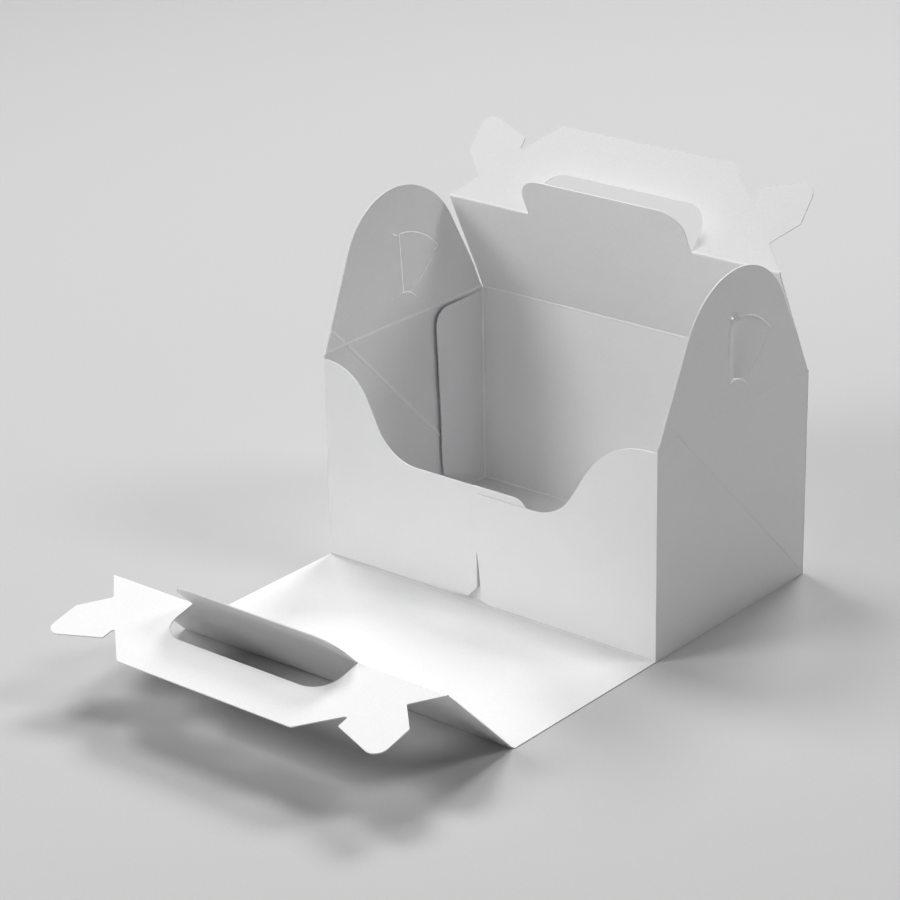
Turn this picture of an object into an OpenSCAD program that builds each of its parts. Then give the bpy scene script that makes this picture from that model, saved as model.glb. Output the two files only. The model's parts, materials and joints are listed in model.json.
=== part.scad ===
// Pastry box of white board, folded from one die-cut sheet and left open.
// Seen from the front: X runs to the right, Y runs to the back, Z is up.
// The origin is under the middle of the floor, and the box stands on Z = 0.
// Every moving crease is a straight line, and the board stops short of it on both sides.

/* [Box] */
// Outer width over the two side walls
width = 186; // [150:1:240]
// Outer depth from the front wall to the back wall
depth = 115; // [90:1:150]
// Height of the creases at the top of the walls
height = 100; // [80:1:130]
// Thickness of the board
board = 0.5; // [0.4:0.05:0.6]

/* [Creases and play] */
// Distance from a moving crease to the edge of the board on each side of it
crease_gap = 0.35; // [0.35:0.01:0.5]
// Width of a pressed score line
score_width = 0.8; // [0.5:0.1:1.5]
// Depth of a pressed score line
score_depth = 0.12; // [0.05:0.01:0.2]
// Play between the roofs and the gable at each side
side_play = 0.4; // [0.3:0.05:1]
// Play between the closed front panel and the front wall
panel_play = 0.3; // [0.2:0.05:1]
// Play between the two handles when they stand together
handle_play = 0.3; // [0.2:0.05:1]
// Width of a plain cut through the board
kerf = 0.4; // [0.2:0.05:0.6]

/* [Front wall] */
// How far the front panel stops short of the height
panel_drop = 2; // [1.5:0.5:6]
// Play between the shoulders of the front wall and the closed roof
shoulder_play = 0.5; // [0.3:0.1:2]
// Height of the left half of the front wall along the mouth
left_mouth_height = 57.2; // [45:0.1:70]
// Height of the right half of the front wall along the mouth
right_mouth_height = 53.8; // [42:0.1:66]
// Width of the left shoulder up to the middle of its curve
left_shoulder = 28.5; // [20:0.5:40]
// Width of the right shoulder up to the middle of its curve
right_shoulder = 39.5; // [25:0.5:50]
// Steepness of the left curve
left_slope = 64; // [50:1:75]
// Steepness of the right curve
right_slope = 58; // [50:1:75]
// Radius at the top of the left curve
left_top_radius = 27; // [15:1:30]
// Radius at the top of the right curve
right_top_radius = 38; // [15:1:45]
// Radius at the foot of both curves
mouth_radius = 24; // [12:1:28]
// Place of the lock slit, left of the middle of the wall
slit_offset = 5.5; // [0:0.5:10]
// Height up to which the slit of the left half reaches
slit_height = 26; // [18:0.5:36]
// Width of the slit at its foot
slit_mouth = 1.2; // [0.6:0.1:2]
// Cut corner of the left half beside the slit
slit_chamfer = 5.5; // [3:0.5:8]
// Lift of the left half off the floor beside the slit
left_lift = 1.8; // [0.6:0.1:2.5]
// Length of the left tongue behind the right half
left_tongue = 29; // [20:1:34]
// Length of the right tongue behind the left half
right_tongue = 30; // [20:1:34]

/* [Glue flaps] */
// Length of each glue flap along the side wall
glue_flap = 37.5; // [25:0.5:40]
// How much shorter a glue flap is at its foot
glue_taper = 4; // [0:0.5:8]
// Angle at which a glue flap stands off its side wall
glue_lean = 2; // [2:0.5:8]
// Gap above and below a glue flap at the back wall
glue_margin = 1.5; // [1:0.5:6]
// Height of the lower front corner of a glue flap above the table
glue_foot = 13; // [8:0.5:20]
// Upper corner radius of a glue flap
glue_radius = 8; // [2:0.5:12]
// Lower corner radius of a glue flap
glue_foot_radius = 3; // [1:0.5:8]

/* [Gables] */
// Height of each gable above its crease
gable_height = 63.5; // [50:0.5:66]
// Lean of the straight sides of a gable
gable_slope = 26.5; // [26:0.5:32]
// Play between the foot of a gable and the planes of the front and back walls
gable_play = 1; // [0.8:0.1:3]

/* [Gable slot] */
// Height of the top cut above the crease
slot_top = 41; // [34:0.5:46]
// Height of the bottom cut above the crease
slot_foot = 12.8; // [10:0.2:18]
// Radius of the top cut
slot_top_radius = 34.5; // [28:0.5:40]
// Radius of the bottom cut
slot_foot_radius = 10; // [8:0.5:14]
// Reach of the slot in front of its upright cut
slot_front = 5; // [3:0.5:8]
// Reach of the top cut behind the upright cut
slot_back = 26; // [20:0.5:29]
// Reach of the bottom cut behind the upright cut
slot_back_foot = 8.8; // [6:0.2:12]
// Radius of the hooks at the ends of the top cut
hook_radius = 2.2; // [1.5:0.1:3]

/* [Roofs and handles] */
// Height of each handle above its fold
handle_height = 45; // [40:0.5:60]
// Half width of the straight top edge of a handle
handle_top = 48; // [44:0.5:56]
// Corner radius of the top edge
handle_radius = 2.5; // [1:0.5:6]
// Half width of the hand hole at the fold
hole_half = 45.5; // [38:0.5:46]
// Height of the hand hole above the fold
hole_height = 22; // [18:0.5:26]
// Corner radius of the hand hole
hole_radius = 12; // [6:0.5:16]

/* [Ears] */
// Depth of the lower notch between handle and ear
lower_notch = 11.1; // [8:0.1:14]
// Height of the lower notch above the fold
lower_notch_height = 12.2; // [9:0.2:15]
// Height of the lower outer corner of an ear
ear_foot = 24; // [20:0.5:28]
// Height of the outer tip of an ear before rounding
ear_tip = 45.2; // [40:0.2:50]
// Radius of the tip of an ear
ear_radius = 5.5; // [2:0.5:8]
// Distance from the side to the inner end of an ear
ear_length = 27.1; // [22:0.1:32]
// Height of the inner end of an ear
ear_inner_height = 35.7; // [32:0.1:39]
// Height of the upper notch above the fold
upper_notch_height = 28.2; // [25:0.1:31]

/* [Open position] */
// Lean of the back roof towards the front, from upright
back_roof_lean = 25; // [20:0.5:26]
// Lean of the back handle towards the back, from upright
back_handle_lean = 40.5; // [20:0.5:60]
// Rise of the front roof above the table
front_roof_rise = 45; // [20:0.5:60]
// Drop of the front handle below level
front_handle_drop = 12.8; // [0:0.1:20]
// Lean of the left gable to the outside
left_gable_lean = 4; // [0:0.5:10]

/* [Hidden] */
$fn = 64;
ARC_STEPS = 10;
BOARD_WHITE = [0.93, 0.93, 0.93];

// Mid-planes and inner faces of the walls
half_width = width / 2;
half_depth = depth / 2;
gable_line = half_width - board / 2;
back_line = half_depth - board / 2;
inner_half_width = half_width - board;
inner_half_depth = half_depth - board;
wall_top = height - crease_gap;

// Front panel and its two creases
panel_line = -(half_depth + panel_play + board / 2);
panel_length = height - panel_drop;
panel_end = panel_line - panel_length;
shoulder_top = panel_length - shoulder_play;

// Roofs reach to the handles, which stand back to back when the box is closed
roof_half_width = half_width - board - side_play;
handle_stand = (board + handle_play) / 2;
back_roof_length = back_line - handle_stand;
// The closed front roof ends one board and one play lower than the closed back roof
front_roof_sink = board + 2 * handle_play;
front_roof_climb = panel_drop - board / 2 - front_roof_sink;
front_roof_length = norm([-panel_line - handle_stand, front_roof_climb]);

// Directions of the open pieces, measured from +Y towards +Z
PANEL_ANGLE = 180;
front_roof_angle = 180 - front_roof_rise;
front_handle_angle = 180 + front_handle_drop;
back_roof_angle = 90 + back_roof_lean;
back_handle_angle = 90 - back_handle_lean;

// Fold lines of the two handles, as [y, z]
front_fold = [panel_end, board / 2]
    + front_roof_length * [cos(front_roof_angle), sin(front_roof_angle)];
back_fold = [back_line, height]
    + back_roof_length * [cos(back_roof_angle), sin(back_roof_angle)];

// Gable outline: straight sides that run into a round top
gable_half = half_depth - gable_play;
gable_radius = (gable_half * cos(gable_slope) - gable_height * sin(gable_slope))
    / (1 - sin(gable_slope));
gable_centre = gable_height - gable_radius;

// Lock slit of the front wall
slit_x = -slit_offset;
LOCK_LAP = 1.5;
LOCK_CLEAR = 0.3;

// Small radii that take the point off a cut corner
CORNER = 1;
TONGUE_CORNER = 8;

function unit(v) = v / norm(v);
function turn(a) = a > 180 ? a - 360 : a < -180 ? a + 360 : a;
function heading(v) = atan2(v[1], v[0]);

// Points of a round corner at p, between the points a and b
function corner(a, p, b, r) = r == 0 ? [p] :
    let (
        u = unit(a - p),
        v = unit(b - p),
        half = acos(u * v) / 2,
        centre = p + unit(u + v) * r / sin(half),
        first = heading(p + u * r / tan(half) - centre),
        sweep = turn(heading(p + v * r / tan(half) - centre) - first)
    )
    [for (k = [0 : ARC_STEPS])
        centre + r * [cos(first + sweep * k / ARC_STEPS), sin(first + sweep * k / ARC_STEPS)]];

function flat(p) = [p[0], p[1]];

// Closed outline whose corners are given as [x, y, radius]
function outline(points) = let (n = len(points)) [
    for (i = [0 : n - 1])
        each corner(
            flat(points[(i + n - 1) % n]),
            flat(points[i]),
            flat(points[(i + 1) % n]),
            points[i][2]
        )
];

// Board with the outline of the child, centred on its mid-plane
module sheet(thickness = board) {
    translate([0, 0, -thickness / 2])
        linear_extrude(thickness)
            children();
}

// Piece that turns about a line along X, given as [y, z]
module about_x(line, angle) {
    translate([0, line[0], line[1]])
        rotate([angle, 0, 0])
            children();
}

// Piece that stands in the plane of a front or back wall, with its outer face at y
module facing_front(y) {
    translate([0, y + board, 0])
        rotate([90, 0, 0])
            linear_extrude(board)
                children();
}

// Piece that stands in the plane of a side wall, turned about the crease at x and z
module facing_side(x, z, lean) {
    translate([x, 0, z])
        rotate([0, lean, 0])
            rotate([90, 0, 90])
                children();
}

// Thin bar from one point of a sheet to another
module bar(from, to, bar_width) {
    translate(from)
        rotate(heading(to - from))
            translate([0, -bar_width / 2])
                square([norm(to - from), bar_width]);
}

// Thin ring arc about a centre, from one heading to another
module arc(centre, radius, first, last, arc_width) {
    edge = arc_width / 2;
    steps = [for (k = [0 : ARC_STEPS]) first + (last - first) * k / ARC_STEPS];
    polygon([
        for (a = steps) centre + (radius + edge) * [cos(a), sin(a)],
        for (k = [ARC_STEPS : -1 : 0])
            centre + (radius - edge) * [cos(steps[k]), sin(steps[k])]
    ]);
}

// Floor, which ends at the crease of the front panel
module floor_panel() {
    front = panel_line + crease_gap;
    translate([-half_width, front, 0])
        cube([width, half_depth - front, board]);
}

module back_wall() {
    facing_front(half_depth - board)
        translate([-half_width, 0])
            square([width, wall_top]);
}

// Side wall with the slanting score that lets the box fold flat for delivery
module side_wall(side) {
    difference() {
        translate([side * gable_line, 0, 0])
            rotate([90, 0, 90])
                sheet()
                    translate([-half_depth, 0])
                        square([depth, wall_top]);
        translate([side * half_width, 0, 0])
            rotate([90, 0, 90])
                sheet(2 * score_depth)
                    bar([half_depth, 0], [half_depth - height, height], score_width);
    }
}

// Flap of the back wall that lies inside a side wall
module glue_flap_panel(side) {
    low = board + glue_margin;
    high = wall_top - glue_margin;
    translate([side * inner_half_width, inner_half_depth, 0])
        rotate([0, 0, -side * (90 + glue_lean)])
            rotate([90, 0, 0])
                sheet()
                    polygon(outline([
                        [0, low, 0],
                        [side * (glue_flap - glue_taper), glue_foot, glue_foot_radius],
                        [side * glue_flap, high, glue_radius],
                        [0, high, 0]
                    ]));
}

// Curve of one half of the front wall, from its shoulder down to the mouth
function mouth_curve(side, middle, slope, mouth_z, top_radius) =
    let (
        half_drop = (shoulder_top - mouth_z) / 2,
        run = half_drop / tan(slope)
    )
    [
        [side * (half_width - middle + run), shoulder_top, top_radius],
        [side * (half_width - middle - run), mouth_z, mouth_radius]
    ];

module left_half() {
    foot = board + kerf;
    lifted = board + left_lift;
    facing_front(-half_depth)
        polygon(outline(concat(
            [[-half_width, foot, 0], [-half_width, shoulder_top, 0]],
            mouth_curve(-1, left_shoulder, left_slope, left_mouth_height, left_top_radius),
            [
                [slit_x, left_mouth_height, 0],
                [slit_x, slit_height, 0],
                [slit_x, lifted + slit_chamfer, CORNER],
                [slit_x - slit_chamfer, lifted, CORNER],
                [slit_x - right_tongue, lifted, 0]
            ]
        )));
    // Tongue that passes through the slit of the right half and lies behind it
    facing_front(-half_depth + board)
        polygon(outline([
            [slit_x - LOCK_LAP, left_mouth_height, 0],
            [slit_x + left_tongue, left_mouth_height, TONGUE_CORNER],
            [slit_x + left_tongue, slit_height / 2, TONGUE_CORNER],
            [slit_x + LOCK_LAP + LOCK_CLEAR, slit_height / 2, 0],
            [slit_x + LOCK_LAP + LOCK_CLEAR, slit_height + LOCK_CLEAR, 0],
            [slit_x - LOCK_LAP, slit_height + LOCK_CLEAR, 0]
        ]));
}

module right_half() {
    foot = board + kerf;
    facing_front(-half_depth)
        polygon(outline(concat(
            [[half_width, foot, 0], [half_width, shoulder_top, 0]],
            mouth_curve(1, right_shoulder, right_slope, right_mouth_height, right_top_radius),
            [
                [slit_x + kerf / 4, right_mouth_height, CORNER],
                [slit_x + kerf / 4, slit_height, 0],
                [slit_x + slit_mouth, foot, 0]
            ]
        )));
    // Tongue that passes through the slit of the left half and lies behind it
    facing_front(-half_depth + board)
        polygon(outline([
            [slit_x + LOCK_LAP, foot, 0],
            [slit_x + LOCK_LAP, slit_height - LOCK_CLEAR, 0],
            [slit_x - LOCK_LAP - LOCK_CLEAR, slit_height - LOCK_CLEAR, 0],
            [slit_x - LOCK_LAP - LOCK_CLEAR, right_mouth_height, 0],
            [slit_x - right_tongue, right_mouth_height, TONGUE_CORNER],
            [slit_x - right_tongue, foot, CORNER]
        ]));
}

module tray() {
    color(BOARD_WHITE)
        union() {
            floor_panel();
            back_wall();
            for (side = [-1, 1]) {
                side_wall(side);
                glue_flap_panel(side);
            }
            left_half();
            right_half();
        }
}

// Round-topped side flap, drawn in its own plane with the crease on the X axis
module gable_outline() {
    difference() {
        union() {
            translate([0, gable_centre])
                circle(gable_radius);
            polygon([
                [-gable_half, 0],
                [gable_half, 0],
                [gable_radius * cos(gable_slope), gable_centre + gable_radius * sin(gable_slope)],
                [-gable_radius * cos(gable_slope), gable_centre + gable_radius * sin(gable_slope)]
            ]);
        }
        translate([-gable_half, crease_gap - gable_half])
            square([2 * gable_half, gable_half]);
    }
}

// Cuts of the slot that takes an ear: two arcs, an upright cut between them and two hooks
module gable_slot() {
    top_centre = [0, slot_top - slot_top_radius];
    back_end = acos(slot_back / slot_top_radius);
    front_end = 90 + asin(kerf / slot_top_radius);
    arc(top_centre, slot_top_radius, back_end, front_end, kerf);
    hook_point = top_centre + slot_top_radius * [cos(back_end), sin(back_end)];
    arc(hook_point - [hook_radius, 0], hook_radius, 0, -100, kerf);
    arc([-hook_radius, slot_top + hook_radius], hook_radius, -90, -180, kerf);
    bar([-hook_radius, slot_top], [kerf / 2, slot_top], kerf);
    foot_centre = [0, slot_foot - slot_foot_radius];
    arc(
        foot_centre,
        slot_foot_radius,
        acos(slot_back_foot / slot_foot_radius),
        180 - acos(slot_front / slot_foot_radius),
        kerf
    );
    bar([0, slot_foot], [0, slot_top], kerf);
}

// Scores beside the slot, where its two doors bend, and the end of the slanting score
module gable_scores() {
    bar(
        [slot_back - 2 * hook_radius, slot_top - slot_top_radius / 2],
        [slot_back_foot, slot_foot],
        score_width
    );
    bar([-slot_front, slot_foot], [-slot_front, slot_top], score_width);
    bar(
        [half_depth - height, 0],
        [-half_depth, depth - height],
        score_width
    );
}

module gable(side) {
    difference() {
        sheet()
            difference() {
                gable_outline();
                gable_slot();
            }
        translate([0, 0, side * board / 2])
            sheet(2 * score_depth)
                gable_scores();
    }
}

module left_gable() {
    color(BOARD_WHITE)
        facing_side(-gable_line, height, -left_gable_lean)
            gable(-1);
}

module right_gable() {
    color(BOARD_WHITE)
        facing_side(gable_line, height, 0)
            gable(1);
}

module front_panel() {
    color(BOARD_WHITE)
        about_x([panel_line, board / 2], PANEL_ANGLE)
            sheet()
                translate([-half_width, crease_gap])
                    square([width, panel_length - 2 * crease_gap]);
}

// Outline of the hand hole, smaller all round by the inset
function hole_outline(inset, foot) = [
    [-hole_half + inset, foot, 0],
    [hole_half - inset, foot, 0],
    [hole_half - inset, hole_height - inset, hole_radius],
    [-hole_half + inset, hole_height - inset, hole_radius]
];

// Roof panel, with the tongue from the hand hole left standing in its plane
module roof(length) {
    fold = length - crease_gap;
    sheet()
        union() {
            translate([-roof_half_width, crease_gap])
                square([2 * roof_half_width, fold - crease_gap]);
            translate([0, length])
                polygon(outline(hole_outline(kerf / 2, -2 * crease_gap)));
        }
}

// Right half of a handle, from its fold up over the ear to the top edge
function handle_side() = [
    [roof_half_width, crease_gap, 0],
    [roof_half_width - lower_notch, lower_notch_height, CORNER],
    [roof_half_width, ear_foot, CORNER],
    [roof_half_width, ear_tip, ear_radius],
    [roof_half_width - ear_length, ear_inner_height, CORNER],
    [roof_half_width - ear_length, upper_notch_height, CORNER],
    [handle_top, handle_height, handle_radius]
];

function mirrored(points) = [
    for (i = [len(points) - 1 : -1 : 0]) [-points[i][0], points[i][1], points[i][2]]
];

module handle() {
    sheet()
        difference() {
            polygon(outline(concat(handle_side(), mirrored(handle_side()))));
            polygon(outline(hole_outline(-kerf / 2, 0)));
        }
}

module front_roof() {
    color(BOARD_WHITE)
        about_x([panel_end, board / 2], front_roof_angle)
            roof(front_roof_length);
}

module front_handle() {
    color(BOARD_WHITE)
        about_x(front_fold, front_handle_angle)
            handle();
}

module back_roof() {
    color(BOARD_WHITE)
        about_x([back_line, height], back_roof_angle)
            roof(back_roof_length);
}

module back_handle() {
    color(BOARD_WHITE)
        about_x(back_fold, back_handle_angle)
            handle();
}

tray();
left_gable();
right_gable();
front_panel();
front_roof();
front_handle();
back_roof();
back_handle();
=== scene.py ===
import json
import math
from functools import lru_cache

import bmesh
import bpy
from mathutils import Matrix, Vector


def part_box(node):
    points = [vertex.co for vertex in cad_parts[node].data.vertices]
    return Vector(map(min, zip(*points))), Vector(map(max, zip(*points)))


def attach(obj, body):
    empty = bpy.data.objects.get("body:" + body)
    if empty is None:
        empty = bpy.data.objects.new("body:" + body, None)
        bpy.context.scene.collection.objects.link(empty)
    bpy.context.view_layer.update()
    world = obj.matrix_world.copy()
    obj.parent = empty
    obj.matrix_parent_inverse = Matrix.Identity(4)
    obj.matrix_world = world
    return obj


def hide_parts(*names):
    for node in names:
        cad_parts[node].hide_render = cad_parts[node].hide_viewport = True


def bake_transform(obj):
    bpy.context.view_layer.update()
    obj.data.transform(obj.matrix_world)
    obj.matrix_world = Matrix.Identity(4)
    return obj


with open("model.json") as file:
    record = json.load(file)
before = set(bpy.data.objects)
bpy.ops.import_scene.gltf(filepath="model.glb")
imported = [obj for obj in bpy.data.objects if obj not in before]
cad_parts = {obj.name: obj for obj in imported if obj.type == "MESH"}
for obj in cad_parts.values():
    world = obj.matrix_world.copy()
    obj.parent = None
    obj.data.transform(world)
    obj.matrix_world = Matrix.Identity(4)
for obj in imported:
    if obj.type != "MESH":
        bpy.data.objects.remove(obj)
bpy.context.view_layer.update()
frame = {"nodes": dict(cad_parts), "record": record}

MM = 0.001
X = Vector((1, 0, 0))
Y = Vector((0, 1, 0))
Z = Vector((0, 0, 1))

# Photograph: camera and its frame
FRAME_PX = 900
FOCAL_PX = 3109.0
AZIMUTH = 39.61
ELEVATION = 22.65
ROLL = -1.03
DISTANCE = 1.4333
ORIGIN_PX = (564.5, 563.7)
SENSOR_MM = 36.0

# Studio: lamps as azimuth, elevation and watts, azimuth 0 in front and 90 to the right
LAMPS = {
    "lamp_back": (195, 50, 23.5),
    "lamp_left": (255, 61, 18.8),
    "lamp_front_left": (330, 38, 16.9),
    "lamp_front": (0, 38, 5.2),
    "lamp_right": (120, 50, 10.8),
}
LAMP_REACH = 2.2
LAMP_SIZE = 0.75
LAMP_AIM = Vector((0, 0, 0.04))
WORLD_STRENGTH = 0.02
FLOOR_SIZE = 6
FLOOR_GREY = 0.55
FLOOR_SPREAD = 0.03
FLOOR_GRAIN = 600

# Surfaces: noise scales per metre, the waves of the sheet, and the look of matt paper
CLOUD_GRAIN = 70
WAVE_GRAIN = 14
WAVE_DEPTH = 0.5 * MM
NOISE_LOW = 0.33
NOISE_HIGH = 0.67
SPECK_GREY = 0.955
BLUE_TINT = 1.003
MATT_ROUGHNESS = 0.9
MATT_SPECULAR = 0.1

# Sizes of the box that its CAD model has
BOARD = 0.5 * MM
CREASE_GAP = 0.35 * MM
HALF_WIDTH = 93 * MM
HALF_DEPTH = 57.5 * MM
HEIGHT = 100 * MM
ROOF_HALF_WIDTH = 92.1 * MM
GABLE_HALF = 56.5 * MM
HOLE_HALF = 45.7 * MM
PANEL_END = -156.05 * MM

# Front edge of the lowered panel, which stands a little off the table in its middle: height,
# where the rise starts on the panel, where it ends on the roof, and how it fades to the sides
EDGE_LIFT = 0.9 * MM
EDGE_LIFT_START = -95 * MM
EDGE_LIFT_END = 16 * MM
EDGE_LIFT_SIDE = 70 * MM
EDGE_LIFT_FADE = 50 * MM

# Lock slit of the front wall, between its left and its right half
SLIT_X = -5.5 * MM
SLIT_TOP = 26 * MM
SLIT_DEPTH = 2.6 * MM
SLIT_SIDE = SLIT_X + 0.05 * MM
SLIT_EDGE = SLIT_X + 0.15 * MM
TONGUE_END = -35.5 * MM
INNER_FACE = -HALF_DEPTH + 0.2 * MM
OUTER_FACE = -HALF_DEPTH + 0.01 * MM
SLACK = 0.1 * MM
SPRING_WIDTH = 8 * MM
DIVE_WIDTH = 5 * MM
DIVE_RISE = 8 * MM
FOOT_TOP = 2.6 * MM
FOOT_FLARE = -Y * 0.22 * MM - Z * 0.7 * MM

# Where the tray is cut into smaller faces that can bend: the parts, and the cuts in millimetres
FLAP_RANGE_Y = (15 * MM, 56.9 * MM)
FLAP_RANGE_Z = (1 * MM, 99 * MM)
FRONT_BACK = -56.4 * MM
FRONT_HALF = 92.4 * MM
FRONT_FOOT = 0.7 * MM
FLAP_CUTS_Z = range(6, 98, 7)
FLAP_CUTS_Y = (26, 33, 41, 49, 54)
SLIT_CUTS_X = (-5, -3.5, -2, 2, 4, 6, 8, 10, 13)
TONGUE_CUTS_X = (-28, -20)
FRONT_CUTS_Z = (2.7, 7, 12, 17, 22, 28, 31, 34)

# Glue flaps: length, stand-off that the CAD model has, and the real one, which grows at the foot
FLAP_LENGTH = 37.5 * MM
FLAP_STAND = 1.31 * MM
FLAP_TOP_STAND = 0.6 * MM
FLAP_GLUED = 38 * MM
FLAP_FLARE = 0.05

# Slot of a gable: cuts and creases, along the gable and above its crease
SLOT_FRONT = 5 * MM
SLOT_SIDE = 0.5 * MM
HOOK_CENTRE = (-2.2 * MM, 43.2 * MM)
HOOK_RADIUS = 2.15 * MM
HOOK_SIDE = 0.3 * MM
HOOK_TOP = 43.8 * MM
SLOT_TOP = 41 * MM
SLOT_TOP_RADIUS = 34.5 * MM
SLOT_FOOT = 12.8 * MM
SLOT_FOOT_RADIUS = 10 * MM
DOOR_TOP = (21.6 * MM, 23.75 * MM)
DOOR_FOOT = (8.8 * MM, 12.8 * MM)

# Score groove outside the right gable's narrow door, which the skin fills
SCORE_DEPTH = 0.12 * MM
SCORE_REACH = 0.42 * MM
SCORE_FLOOR = 92.95 * MM

# Gables of the real box: their lean and curl, and how far doors and tabs stand out of the plane
GABLE_LEAN = 0.3 * MM
GABLE_RISE = 64 * MM
GABLE_SLOPE = 0.5
CURL = 1.5 * MM
CURL_WIDTH = 26 * MM
CURL_RISE = 16 * MM
LEFT_DOOR = 0.45 * MM
LEFT_HOOK = 0.5 * MM
NARROW_DOOR = 1.6 * MM
WIDE_DOOR = 2.4 * MM
RIGHT_HOOK = 2.4 * MM

# Skin of the board
JOIN = 0.002 * MM
SLICE_DIST = 0.001 * MM
FLAT_ANGLE = math.radians(0.5)
LEVEL = 0.7
GRID = 4 * MM
GRID_SHIFT = 0.37
NEAR_FOLD = [0.55 * MM, 0.8 * MM, 1.1 * MM, 1.5 * MM]
EDGE_WIDTH = 0.6 * MM
SHARP = math.radians(14)
ROUND_STEPS = 3
FOLD_ROUNDING = 0.45 * MM
# Material slots; the scored slot's whiter board is partly a painted highlight on the ridges
INSIDE, OUTSIDE, CUT, SCORED_AND_LIT = range(4)

# Strips of the moving creases
CREASE_STEPS = 8
CREASE_GRID = 8 * MM
FOLD_RADIUS = 1.6 * MM
OUTER_SWELL = 0.1 * MM
INNER_SINK = 0.04 * MM
RIDGE_POWER = 1.3

# Ridges that pressed scores leave on the inside, low enough to let the roofs pass
BEAD_REACH = 0.5 * MM
BEAD_HEIGHT = 0.37 * MM
BEAD_WIDTH = 1.8 * MM
BEAD_STEPS = 6
BEAD_ROOT = 0.05 * MM
BEAD_MARGIN = 1 * MM
FRONT_BEAD = 0.25 * MM
LOW_BEAD = 0.05 * MM
SCORE_START = 1.5 * MM
SCORE_STOP = 1.2 * MM
GABLE_SCORE = 8.1 * MM

# Width and height of the ridges in the corners, along the floor and at the wide slot door
CORNER_BEAD = (1.8 * MM, 1.2 * MM)
FLOOR_BEAD = (1.3 * MM, 0.6 * MM)
DOOR_BEAD = (1.4 * MM, 0.4 * MM)


def way_to(azimuth, elevation):
    """Direction from the box to a place, azimuth 0 in front and 90 to the right."""
    a, e = math.radians(azimuth), math.radians(elevation)
    return Vector((math.sin(a) * math.cos(e), -math.cos(a) * math.cos(e), math.sin(e)))


def camera_axes():
    """Right, up and back of the camera, in the row frame."""
    a, r = math.radians(AZIMUTH), math.radians(ROLL)
    back = way_to(AZIMUTH, ELEVATION)
    right = Vector((math.cos(a), math.sin(a), 0))
    up = back.cross(right)
    return (
        math.cos(r) * right + math.sin(r) * up,
        math.cos(r) * up - math.sin(r) * right,
        back,
    )


def add_camera():
    right, up, back = camera_axes()
    across = (ORIGIN_PX[0] - FRAME_PX / 2) / FOCAL_PX * DISTANCE
    down = (ORIGIN_PX[1] - FRAME_PX / 2) / FOCAL_PX * DISTANCE
    place = back * DISTANCE - right * across + up * down
    data = bpy.data.cameras.new("camera")
    data.sensor_width = SENSOR_MM
    data.lens = FOCAL_PX / FRAME_PX * SENSOR_MM
    camera = bpy.data.objects.new("camera", data)
    turn = Matrix((right, up, back)).transposed().to_4x4()
    camera.matrix_world = Matrix.Translation(place) @ turn
    bpy.context.collection.objects.link(camera)
    bpy.context.scene.camera = camera


def add_lamps():
    for name, (azimuth, elevation, watts) in LAMPS.items():
        data = bpy.data.lights.new(name, "AREA")
        data.shape = "DISK"
        data.size = LAMP_SIZE
        data.energy = watts
        lamp = bpy.data.objects.new(name, data)
        way = way_to(azimuth, elevation)
        lamp.location = LAMP_AIM + way * LAMP_REACH
        lamp.rotation_euler = (-way).to_track_quat("-Z", "Y").to_euler()
        bpy.context.collection.objects.link(lamp)


def set_world():
    world = bpy.data.worlds.new("world")
    bpy.context.scene.world = world
    world.use_nodes = True
    background = world.node_tree.nodes["Background"]
    background.inputs["Color"].default_value = (1, 1, 1, 1)
    background.inputs["Strength"].default_value = WORLD_STRENGTH


class Nodes:
    """Short calls for building one material."""

    def __init__(self, name):
        self.material = bpy.data.materials.new(name)
        self.material.use_nodes = True
        self.tree = self.material.node_tree
        self.shader = self.tree.nodes["Principled BSDF"]
        self.place = self.add("ShaderNodeTexCoord").outputs["Object"]

    def add(self, kind, **values):
        node = self.tree.nodes.new(kind)
        for key, value in values.items():
            setattr(node, key, value)
        return node

    def link(self, output, node, socket):
        self.tree.links.new(output, node.inputs[socket])

    def noise(self, scale, detail):
        node = self.add("ShaderNodeTexNoise")
        node.inputs["Scale"].default_value = scale
        node.inputs["Detail"].default_value = detail
        self.link(self.place, node, "Vector")
        return node.outputs["Fac"]

    def mix(self, factor, low, high):
        """Colour from low to high, as the factor goes from 0 to 1."""
        node = self.add("ShaderNodeMix", data_type="RGBA")
        node.inputs["A"].default_value = low
        node.inputs["B"].default_value = high
        self.link(factor, node, "Factor")
        return node.outputs["Result"]

    def multiply(self, one, other):
        node = self.add("ShaderNodeMix", data_type="RGBA", blend_type="MULTIPLY")
        node.inputs["Factor"].default_value = 1
        self.link(one, node, "A")
        self.link(other, node, "B")
        return node.outputs["Result"]

    def spread(self, value):
        """The middle of a noise, stretched to the whole range."""
        node = self.add("ShaderNodeMapRange")
        node.inputs["From Min"].default_value = NOISE_LOW
        node.inputs["From Max"].default_value = NOISE_HIGH
        self.link(value, node, "Value")
        return node.outputs["Result"]

    def bump(self, height, distance, before=None):
        node = self.add("ShaderNodeBump")
        node.inputs["Distance"].default_value = distance
        self.link(height, node, "Height")
        if before:
            self.link(before, node, "Normal")
        return node.outputs["Normal"]


def grey(value):
    return (value, value, value * BLUE_TINT, 1)


def board_material(name, low, high, roughness, specular, grain, grain_depth):
    """White board: cloudy fibre, fine grain and the slight waves of a thin sheet."""
    m = Nodes(name)
    cloud = m.noise(CLOUD_GRAIN, detail=4)
    fibre = m.spread(m.noise(grain, detail=3))
    clouded = m.mix(cloud, grey(low), grey(high))
    speck = m.mix(fibre, grey(SPECK_GREY), grey(1.0))
    m.link(m.multiply(clouded, speck), m.shader, "Base Color")
    m.shader.inputs["Roughness"].default_value = roughness
    m.shader.inputs["Specular IOR Level"].default_value = specular
    waves = m.bump(m.noise(WAVE_GRAIN, detail=1), WAVE_DEPTH)
    m.link(m.bump(fibre, grain_depth, waves), m.shader, "Normal")
    return m.material


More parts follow.
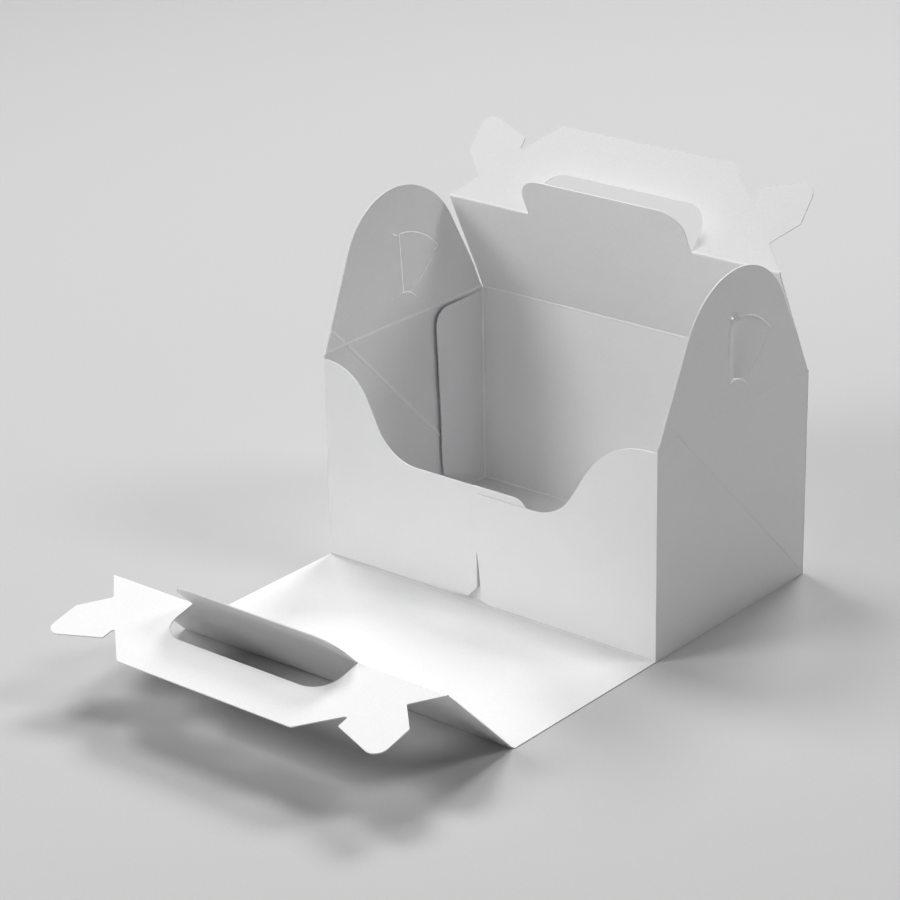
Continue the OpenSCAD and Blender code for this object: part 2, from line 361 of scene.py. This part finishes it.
def floor_material():
    m = Nodes("studio_paper")
    low, high = (grey(FLOOR_GREY * (1 + way * FLOOR_SPREAD)) for way in (-1, 1))
    m.link(m.mix(m.noise(FLOOR_GRAIN, detail=2), low, high), m.shader, "Base Color")
    m.shader.inputs["Roughness"].default_value = MATT_ROUGHNESS
    m.shader.inputs["Specular IOR Level"].default_value = MATT_SPECULAR
    return m.material


def add_floor():
    bpy.ops.mesh.primitive_plane_add(size=FLOOR_SIZE)
    floor = bpy.context.object
    floor.name = "floor"
    floor.data.materials.append(floor_material())


def smooth(t):
    """Soft step from 0 to 1."""
    t = min(1.0, max(0.0, t))
    return t * t * (3 - 2 * t)


# The functions from here to BENDS give the shift of a point, in the row frame, where the real
# sheet leaves its flat panels


def edge_lift(p):
    """Rise of the front panel's edge and of the roof's foot, in the middle of the crease."""
    if p.y > PANEL_END:
        share = smooth((EDGE_LIFT_START - p.y) / (EDGE_LIFT_START - PANEL_END))
    else:
        share = smooth(1 - p.z / EDGE_LIFT_END)
    return Z * EDGE_LIFT * share * smooth((EDGE_LIFT_SIDE - abs(p.x)) / EDGE_LIFT_FADE)


def in_slot(y, h):
    """True between the top and the bottom cut of a gable slot."""
    under = math.hypot(y, h - SLOT_TOP + SLOT_TOP_RADIUS) < SLOT_TOP_RADIUS
    over = math.hypot(y, h - SLOT_FOOT + SLOT_FOOT_RADIUS) > SLOT_FOOT_RADIUS
    return under and over and h > SLOT_FOOT - SLOT_FOOT_RADIUS


def door_share(y, h):
    """How far a point of the wide door is from its crease, 0 there and 1 at the upright cut."""
    run = (h - DOOR_FOOT[1]) / (DOOR_TOP[1] - DOOR_FOOT[1])
    hinge = DOOR_FOOT[0] + run * (DOOR_TOP[0] - DOOR_FOOT[0])
    return min(1.0, max(0.0, 1 - y / hinge))


def hook_share(y, h):
    """How far a point of the small round tab at the top of the slot is from its root."""
    from_centre = math.hypot(y - HOOK_CENTRE[0], h - HOOK_CENTRE[1])
    if from_centre > HOOK_RADIUS and y < HOOK_CENTRE[0]:
        return 0
    inside = HOOK_CENTRE[0] - HOOK_RADIUS < y < HOOK_SIDE and SLOT_TOP < h < HOOK_TOP
    return (HOOK_TOP - h) / (HOOK_TOP - SLOT_TOP) if inside else 0


def left_gable_bend(p):
    """The back edge of the left gable curls in, and its slot door stands a little proud."""
    h = p.z - HEIGHT
    if h <= 0:
        return Vector()
    from_edge = GABLE_HALF - GABLE_SLOPE * h - p.y
    curl = max(0.0, 1 - from_edge / CURL_WIDTH) ** 2
    shift = CURL * curl * smooth(h / CURL_RISE)
    if in_slot(p.y, h) and p.y > 0:
        shift += LEFT_DOOR * door_share(p.y, h)
    shift += LEFT_HOOK * hook_share(p.y, h)
    return X * shift


def right_gable_bend(p):
    """The right gable leans in a little, its slot doors are pushed in and its tab stands out."""
    h = p.z - HEIGHT
    if h <= 0:
        return Vector()
    shift = -GABLE_LEAN * smooth(h / GABLE_RISE)
    at_score = SLOT_FOOT < h < SLOT_TOP and abs(p.y + SLOT_FRONT) < SCORE_REACH
    if at_score and p.x < SCORE_FLOOR:
        shift += SCORE_DEPTH
    if in_slot(p.y, h):
        if -SLOT_FRONT < p.y < 0:
            shift -= NARROW_DOOR * (p.y + SLOT_FRONT) / SLOT_FRONT
        elif p.y > 0:
            shift -= WIDE_DOOR * door_share(p.y, h) ** 2
    shift += RIGHT_HOOK * hook_share(p.y, h)
    return X * shift


def flat(p):
    """No bend."""
    return Vector()


def round_off(p, node, parent_way):
    """Takes the point off the fold at a panel's foot, as thick paper does."""
    origin, along, up, normal = panel_axes(node)
    inner = parent_way + up
    half_turn = math.acos(min(1.0, inner.length / 2))
    half_bend = math.pi / 2 - half_turn
    way = inner.normalized()
    reach = FOLD_RADIUS * math.tan(half_bend)
    depth = FOLD_RADIUS * (1 / math.cos(half_bend) - 1)
    off = p - origin
    off -= along * off.dot(along)
    away = math.sqrt(max(0.0, off.length_squared - (BOARD / 2) ** 2))
    if away >= reach or abs(p.x) < HOLE_HALF:
        return Vector()
    return way * depth * (1 - away / reach) ** 2


def back_fold_bend(p):
    return round_off(p, "back_handle", -panel_axes("back_roof")[2])


def front_fold_bend(p):
    return edge_lift(p) + round_off(p, "front_handle", -panel_axes("front_roof")[2])


BENDS = {
    "front_panel": edge_lift,
    "left_gable": left_gable_bend,
    "right_gable": right_gable_bend,
    "front_roof": front_fold_bend,
    "front_handle": front_fold_bend,
    "back_roof": back_fold_bend,
    "back_handle": back_fold_bend,
}


def hinge_of(node):
    return next(j for j in frame["record"]["behaviour"]["joints"] if j["child"] == node)


@lru_cache(maxsize=None)
def panel_axes(node):
    """Crease point, direction along the crease, direction up the panel, and its normal."""
    joint = hinge_of(node)
    origin = Vector(joint["pos_m"])
    along = X if abs(joint["axis"][0]) > 0.5 else Y
    low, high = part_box(node)
    up = (low + high) / 2 - origin
    up -= along * up.dot(along)
    up.normalize()
    return origin, along, up, along.cross(up)


# +1 where a panel's normal is on the inside of the closed box
INWARD = {
    "front_panel": -1,
    "front_roof": -1,
    "front_handle": -1,
    "back_roof": 1,
    "back_handle": 1,
    "left_gable": 1,
    "right_gable": -1,
}


def clean_copy(node):
    """The CAD panel as plain polygons, with the double points of its file joined."""
    source = frame["nodes"][node]
    shell = bmesh.new()
    shell.from_mesh(source.data)
    shell.transform(source.matrix_world)
    bmesh.ops.remove_doubles(shell, verts=shell.verts, dist=JOIN)
    bmesh.ops.dissolve_limit(
        shell, angle_limit=FLAT_ANGLE, verts=shell.verts, edges=shell.edges
    )
    return shell


def is_cut_edge(face):
    """True for the narrow faces of the cut board, by their mean width."""
    around = face.calc_perimeter()
    return 2 * face.calc_area() / around < EDGE_WIDTH if around else True


def tray_side(face):
    """Inside or outside of the tray, by the way the face looks."""
    middle = face.calc_center_median()
    way = face.normal
    if abs(way.z) > LEVEL:
        return INSIDE if way.z > 0 else OUTSIDE
    outward = Vector((middle.x / HALF_WIDTH, middle.y / HALF_DEPTH, 0))
    flat_way = Vector((way.x, way.y, 0))
    if abs(way.x) > abs(way.y):
        outward.y = 0
    else:
        outward.x = 0
    return OUTSIDE if outward.dot(flat_way) > 0 else INSIDE


def finish_faces(shell, node):
    """Gives each face the material of its side of the board."""
    inward = None if node == "tray" else panel_axes(node)[3] * INWARD[node]
    for face in shell.faces:
        if is_cut_edge(face):
            face.material_index = CUT
        elif node == "tray":
            face.material_index = tray_side(face)
        else:
            face.material_index = INSIDE if face.normal.dot(inward) > 0 else OUTSIDE


def slice_at(shell, place, way):
    """Cuts all faces along the plane through a place, square to a direction."""
    bmesh.ops.bisect_plane(
        shell,
        geom=shell.verts[:] + shell.edges[:] + shell.faces[:],
        dist=SLICE_DIST,
        plane_co=place,
        plane_no=way,
    )


def slice_across(shell, way, places):
    for place in places:
        slice_at(shell, way * place, way)


def grid_places(low, high):
    count = max(1, round((high - low) / GRID))
    return [low + (high - low) * (k + GRID_SHIFT) / count for k in range(count)]


def add_piece(name, shell, body, node=None, smooth_all=True):
    """Makes an object of a shell, which rides a body and may replace a CAD panel."""
    mesh = bpy.data.meshes.new(name)
    if smooth_all:
        for face in shell.faces:
            face.smooth = True
    shell.normal_update()
    shell.to_mesh(mesh)
    shell.free()
    for material in BOARD_SIDES:
        mesh.materials.append(material)
    if smooth_all:
        mesh.set_sharp_from_angle(angle=SHARP)
    piece = bpy.data.objects.new(name, mesh)
    bpy.context.collection.objects.link(piece)
    if node:
        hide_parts(node)
    if body:
        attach(piece, body)
    return piece


def panel_skin(node):
    """One flap as the thin, slightly bent sheet that it is."""
    shell = clean_copy(node)
    finish_faces(shell, node)
    origin, along, up, normal = panel_axes(node)
    low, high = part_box(node)
    reach = max((corner - origin).dot(up) for corner in (low, high))
    side = max(abs(low.dot(along)), abs(high.dot(along)))
    base = origin.dot(up)
    slice_across(shell, along, grid_places(-side, side))
    slice_across(shell, up, [base + h for h in grid_places(0, reach)])
    if "gable" in node:
        slice_across(shell, along, [-SLOT_FRONT, SLOT_SIDE])
        slice_across(shell, up, [base + HOOK_TOP])
        slice_door_crease(shell, origin, along, up)
    else:
        slice_across(shell, up, [base + h for h in NEAR_FOLD])
        slice_across(shell, up, [base + reach + CREASE_GAP - h for h in NEAR_FOLD])
    bend = BENDS[node]
    for vert in shell.verts:
        vert.co += bend(vert.co)
    add_piece(node + "_skin", shell, node, node)


def slice_door_crease(shell, origin, along, up):
    """Cuts the gable's faces along the slanting crease of the wide door."""
    foot = origin + along * DOOR_FOOT[0] + up * DOOR_FOOT[1]
    top = origin + along * DOOR_TOP[0] + up * DOOR_TOP[1]
    slice_at(shell, foot, (top - foot).cross(along.cross(up)).normalized())


def is_outer_fold(edge):
    """True for a fold of the tray that shows from outside: a corner or an edge at the table."""
    points = [vert.co for vert in edge.verts]
    near = 0.02 * MM
    at_side = all(abs(abs(p.x) - HALF_WIDTH) < near for p in points)
    at_back = all(abs(p.y - HALF_DEPTH) < near for p in points)
    at_front = all(abs(p.y + HALF_DEPTH) < near for p in points)
    at_table = all(abs(p.z) < near for p in points)
    return at_side and (at_back or at_front) or at_table and (at_side or at_back)


def slice_some(shell, choose, way, places):
    """Cuts only the faces that choose() picks."""
    for place in places:
        faces = [face for face in shell.faces if choose(face.calc_center_median())]
        edges = {edge for face in faces for edge in face.edges}
        verts = {vert for face in faces for vert in face.verts}
        bmesh.ops.bisect_plane(
            shell,
            geom=list(verts) + list(edges) + faces,
            dist=SLICE_DIST,
            plane_co=way * place,
            plane_no=way,
        )


def on_flap(p):
    """True for a point of a glue flap."""
    clear = abs(p.x) < HALF_WIDTH - BOARD - 0.01 * MM
    in_y = FLAP_RANGE_Y[0] < p.y < FLAP_RANGE_Y[1]
    return clear and in_y and FLAP_RANGE_Z[0] < p.z < FLAP_RANGE_Z[1]


def on_front(p):
    """True for a point of the front wall or its tongues."""
    return p.y < FRONT_BACK and abs(p.x) < FRONT_HALF and p.z > FRONT_FOOT


def flap_flare(p):
    """The flaps stand off further at the foot than at the top."""
    stand = FLAP_TOP_STAND + FLAP_FLARE * max(0.0, FLAP_GLUED - p.z)
    share = (HALF_DEPTH - BOARD - p.y) / FLAP_LENGTH
    return -X * math.copysign((stand - FLAP_STAND) * share, p.x)


def front_spring(p):
    """The right half gives way beside the slit, and above it the left half dives behind."""
    depth = SLIT_DEPTH * max(0.0, 1 - p.z / SLIT_TOP)
    if p.x > SLIT_SIDE:
        if p.z > SLIT_TOP - SLACK and p.x < SLIT_EDGE:
            return -X * (p.x - SLIT_X)
        beside = max(0.0, 1 - (p.x - SLIT_X) / SPRING_WIDTH) ** 2
        return Y * depth * beside
    if p.y > INNER_FACE:
        beside = max(0.0, (p.x - TONGUE_END) / (SLIT_X - TONGUE_END)) ** 2
        return Y * depth * beside
    if p.z > SLIT_TOP and p.y < OUTER_FACE:
        beside = smooth(1 - (SLIT_X - p.x) / DIVE_WIDTH)
        return Y * BOARD * beside * smooth((p.z - SLIT_TOP) / DIVE_RISE)
    if p.z < FOOT_TOP and p.x < TONGUE_END + SLACK:
        return FOOT_FLARE * (p.x + HALF_WIDTH) / (TONGUE_END + HALF_WIDTH)
    return Vector()


def shape_tray(shell):
    """Bends the glue flaps and the lock of the front wall."""
    slice_some(shell, on_flap, Z, [z * MM for z in FLAP_CUTS_Z])
    slice_some(shell, on_flap, Y, [y * MM for y in FLAP_CUTS_Y])
    slice_some(shell, on_front, X, [SLIT_X + x * MM for x in SLIT_CUTS_X])
    slice_some(shell, on_front, X, [x * MM for x in TONGUE_CUTS_X])
    slice_some(shell, on_front, Z, [z * MM for z in FRONT_CUTS_Z])
    for vert in shell.verts:
        if on_flap(vert.co):
            vert.co += flap_flare(vert.co)
        elif on_front(vert.co):
            vert.co += front_spring(vert.co)


def tray_skin():
    """The tray with rounded outer folds, flat shaded apart from them."""
    shell = clean_copy("tray")
    finish_faces(shell, "tray")
    shape_tray(shell)
    folds = [edge for edge in shell.edges if is_outer_fold(edge)]
    made = bmesh.ops.bevel(
        shell,
        geom=folds,
        offset=FOLD_ROUNDING,
        offset_type="OFFSET",
        segments=ROUND_STEPS,
        profile=0.5,
        affect="EDGES",
        clamp_overlap=True,
        material=OUTSIDE,
    )
    for face in shell.faces:
        face.smooth = False
    for face in made["faces"]:
        face.smooth = True
    add_piece("tray_skin", shell, "tray", "tray", smooth_all=False)


def strip_profile(origin, a_way, b_way, along, inward, height):
    """Outline across a crease: plain outside, and inside the ridge that scoring raises."""
    a_normal = along.cross(-a_way) * inward
    b_normal = along.cross(b_way) * inward
    outer, inner = [], []
    for k in range(CREASE_STEPS + 1):
        t = k / CREASE_STEPS
        normal = (a_normal * (1 - t) + b_normal * t).normalized()
        ways = a_way * (1 - t) ** 2 + b_way * t ** 2
        swell = math.sin(math.pi * t)
        outer.append(origin + ways * CREASE_GAP - normal * (BOARD / 2 + OUTER_SWELL * swell))
        ridge = BOARD / 2 - INNER_SINK + height * swell ** RIDGE_POWER
        inner.append(origin + ways * (CREASE_GAP + BEAD_REACH) + normal * ridge)
    return outer, inner


def sweep(shell, outer, inner, along, start, end, bend):
    """Skin of a strip with the given outline, from start to end along its crease."""
    count = max(1, round((end - start) / CREASE_GRID))
    ring = outer + inner[::-1]
    rows = []
    for k in range(count + 1):
        place = along * (start + (end - start) * k / count)
        points = [p - along * p.dot(along) + place for p in ring]
        rows.append([shell.verts.new(p + bend(p)) for p in points])
    size = len(ring)
    last = len(outer) - 1
    for low, high in zip(rows, rows[1:]):
        for k in range(size):
            after = (k + 1) % size
            face = shell.faces.new((low[k], low[after], high[after], high[k]))
            if k < last:
                face.material_index = OUTSIDE
            elif last < k < size - 1:
                # the ridge inside the crease gets the whiter scored board: cracked fibres and a
                # painted highlight
                face.material_index = SCORED_AND_LIT
            else:
                face.material_index = CUT
    for row in (rows[0], rows[-1][::-1]):
        shell.faces.new(row).material_index = CUT


def crease_strip(node, parent_way, spans, bend=flat, height=BEAD_HEIGHT):
    """The pressed, rounded board of a moving crease, as a strip swept along it."""
    origin, along, up, normal = panel_axes(node)
    outer, inner = strip_profile(origin, parent_way, up, along, INWARD[node], height)
    shell = bmesh.new()
    for start, end in spans:
        sweep(shell, outer, inner, along, start, end, bend)
    bmesh.ops.recalc_face_normals(shell, faces=shell.faces)
    piece = add_piece(node + "_crease", shell, None)
    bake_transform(piece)


def add_creases():
    full = [(-HALF_WIDTH, HALF_WIDTH)]
    roof = [(-ROOF_HALF_WIDTH, ROOF_HALF_WIDTH)]
    beside_hole = [(-ROOF_HALF_WIDTH, -HOLE_HALF), (HOLE_HALF, ROOF_HALF_WIDTH)]
    foot = [(-GABLE_HALF, GABLE_HALF)]
    to_foot = {node: -panel_axes(node)[2] for node in ("front_panel", "front_roof", "back_roof")}
    crease_strip("front_panel", Y, full, height=LOW_BEAD)
    way = to_foot["front_panel"]
    crease_strip("front_roof", way, roof, edge_lift, FRONT_BEAD)
    way = to_foot["front_roof"]
    crease_strip("front_handle", way, beside_hole, front_fold_bend)
    crease_strip("back_roof", -Z, roof)
    way = to_foot["back_roof"]
    crease_strip("back_handle", way, beside_hole, back_fold_bend)
    crease_strip("left_gable", -Z, foot)
    crease_strip("right_gable", -Z, foot)


def bead(shell, start, end, normal, width=BEAD_WIDTH, height=BEAD_HEIGHT, bend=flat):
    """Low half-round ridge that a pressed score leaves on the board."""
    along = (end - start).normalized()
    side = along.cross(normal).normalized()
    outline = []
    for k in range(BEAD_STEPS + 1):
        turn = math.pi * k / BEAD_STEPS
        outline.append(side * math.cos(turn) * width / 2 + normal * math.sin(turn) * height)
    outline.append(-side * width / 2 - normal * BEAD_ROOT)
    outline.append(side * width / 2 - normal * BEAD_ROOT)
    count = max(1, round((end - start).length / CREASE_GRID))
    places = [start + (end - start) * k / count for k in range(count + 1)]
    rows = [[shell.verts.new(place + p + bend(place)) for p in outline] for place in places]
    size = len(outline)
    for low, high in zip(rows, rows[1:]):
        for k in range(size):
            after = (k + 1) % size
            shell.faces.new((low[k], low[after], high[after], high[k]))
    shell.faces.new(rows[0][::-1])
    shell.faces.new(rows[-1])


def add_beads(name, shell, body):
    # the ridges get the whiter scored board: cracked fibres and a painted highlight of the light
    # they catch
    for face in shell.faces:
        face.material_index = SCORED_AND_LIT
    bmesh.ops.recalc_face_normals(shell, faces=shell.faces)
    add_piece(name, shell, body)


def tray_beads():
    """Ridges inside the tray: slanting scores of the side walls, corners and floor folds."""
    shell = bmesh.new()
    wall = HALF_WIDTH - BOARD
    back = HALF_DEPTH - BOARD
    for side in (-1, 1):
        low = Vector((side * wall, back - BEAD_MARGIN, SCORE_START))
        high = Vector((side * wall, HALF_DEPTH - HEIGHT + SCORE_STOP, HEIGHT - SCORE_STOP))
        bead(shell, low, high, -X * side)
        corner = Vector((side * wall, back, BOARD))
        slant = Vector((-side, -1, 0)).normalized()
        bead(shell, corner, corner + Z * (HEIGHT - BEAD_MARGIN), slant, *CORNER_BEAD)
        front = Vector((side * wall, -back, BOARD))
        slant = Vector((-side, 0, 1)).normalized()
        bead(shell, front, corner, slant, *FLOOR_BEAD)
    left = Vector((-wall, back, BOARD))
    right = Vector((wall, back, BOARD))
    bead(shell, left, right, Vector((0, -1, 1)).normalized(), *FLOOR_BEAD)
    add_beads("tray_beads", shell, "tray")


def gable_beads(node):
    """Ridges inside a gable: the wide slot door's crease and the end of the slanting score."""
    origin, along, up, normal = panel_axes(node)
    inner = normal * INWARD[node]
    proud = inner * BOARD / 2
    bend = BENDS[node]
    shell = bmesh.new()
    foot = origin + along * DOOR_FOOT[0] + up * (DOOR_FOOT[1] + BEAD_MARGIN) + proud
    top = origin + along * DOOR_TOP[0] + up * DOOR_TOP[1] + proud
    bead(shell, foot, top, inner, *DOOR_BEAD, bend)
    low = origin + along * (HALF_DEPTH - HEIGHT - SCORE_STOP) + up * SCORE_STOP + proud
    bead(shell, low, low + (up - along) * GABLE_SCORE, inner, bend=bend)
    add_beads(node + "_beads", shell, node)


# The sides of the board, in the order of inside, outside, cut and scored faces: lowest and
# highest grey, roughness, specular, grain per metre and its depth. The inside's grey is a little
# lower than the outside's as painted shade, which darkens the inside of the box. The scored
# ridges are whiter, partly for their cracked fibres and partly as a painted highlight of the
# light that they catch.
BOARD_SIDES = (
    # inside: greys a little below the outside's, as painted shade of the box's inside
    board_material("board_inside_shaded", 0.885, 0.915, 0.8, 0.15, 1300, 0.02 * MM),
    board_material("board_outside", 0.905, 0.935, 0.55, 0.3, 1600, 0.008 * MM),
    board_material("board_cut", 0.82, 0.90, 0.9, 0.1, 3500, 0.03 * MM),
    # scored: whiter for cracked fibres and as a painted highlight on the ridges
    board_material("board_scored_and_lit", 0.97, 0.99, 0.9, 0.1, 1300, 0.02 * MM),
)

add_camera()
add_floor()
set_world()
add_lamps()
tray_skin()
tray_beads()
gable_beads("left_gable")
gable_beads("right_gable")
for name in INWARD:
    panel_skin(name)
add_creases()
bpy.context.scene.view_settings.view_transform = "Standard"
